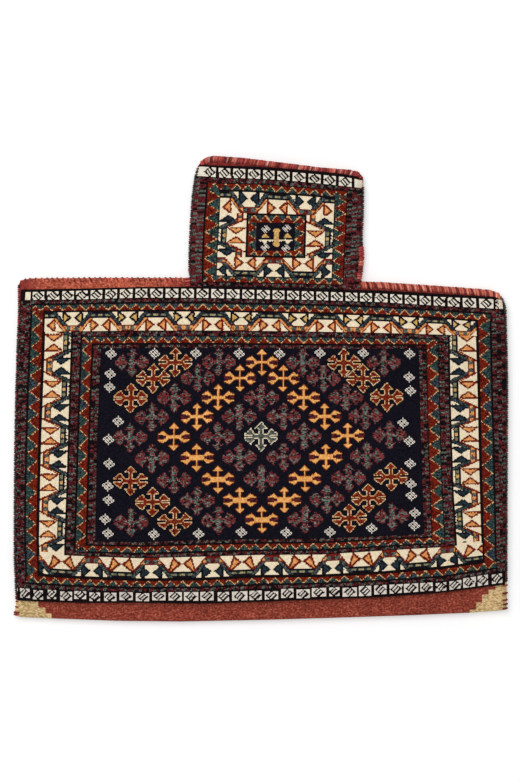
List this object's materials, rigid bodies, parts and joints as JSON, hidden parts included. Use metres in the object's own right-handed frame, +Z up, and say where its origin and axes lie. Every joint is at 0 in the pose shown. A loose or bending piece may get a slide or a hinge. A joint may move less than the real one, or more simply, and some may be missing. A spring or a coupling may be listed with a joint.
{
  "type": "woven salt bag",
  "caption": "Woven wool salt bag with a wide pouch and a narrow neck, patterned pile front, flat-woven back and overcast edges, lying on its back.",
  "frame": {"origin": "middle of the bag's outline, on the surface that it lies on", "axes": "+X across the bag, +Y from the bottom fold towards the mouth, +Z up out of the pile"},
  "size_m": [0.5238, 0.489, 0.0208],
  "materials": {
    "wool_cloth": "knotted wool pile in indigo, madder, teal, ivory and gold on a plain-woven wool ground",
    "dark_yarn": "dark brown and indigo wool yarn, overcast",
    "red_yarn": "madder red wool yarn, overcast"
  },
  "bodies": {
    "root": {"woven_bag": "wool_cloth", "side_stitching_left": "dark_yarn", "side_stitching_right": "dark_yarn", "shoulder_stitching_left": "red_yarn", "shoulder_stitching_right": "red_yarn", "neck_stitching_left": "dark_yarn", "neck_stitching_right": "dark_yarn", "mouth_binding_front": "red_yarn", "mouth_binding_back": "red_yarn"}
  },
  "joints": []
}
